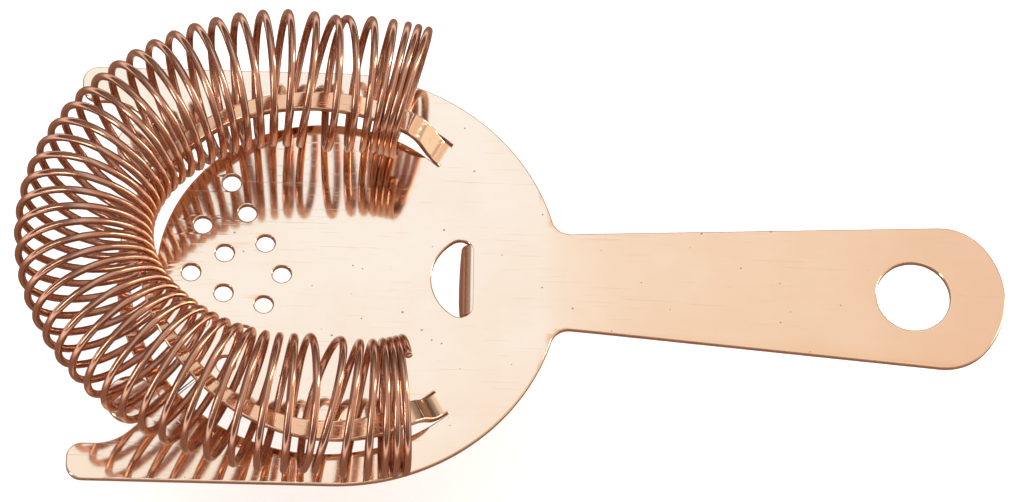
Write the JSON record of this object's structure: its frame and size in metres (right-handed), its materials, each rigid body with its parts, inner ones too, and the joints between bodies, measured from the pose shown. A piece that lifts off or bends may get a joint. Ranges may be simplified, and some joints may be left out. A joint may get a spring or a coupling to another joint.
{
  "type": "hawthorne cocktail strainer",
  "caption": "Flat perforated strainer plate with two ears, a finger tab and a holed handle, with a loose coil spring carried on a raised rail",
  "frame": {"origin": "centre of the round disc, on its upper face, which is the side that carries the coil", "axes": "+X runs from the disc centre along the handle, +Z points away from the disc on the coil side, +Y completes the right-handed frame"},
  "size_m": [0.1602, 0.0794, 0.0323],
  "materials": {
    "plate": "mirror-polished copper plating over stamped stainless steel, with fine pits and hairline scratches",
    "wire": "polished copper-plated spring wire"
  },
  "bodies": {
    "plate": {"strainer_plate": "plate"},
    "spring": {"coil_spring": "wire"}
  },
  "joints": [
    {"name": "coil_press", "type": "slide", "parent": "plate", "child": "spring", "axis": [1, 0, 0], "range_m": [0, 0.006], "stiffness_N_per_m": 400, "deforming": ["coil_spring"]}
  ]
}
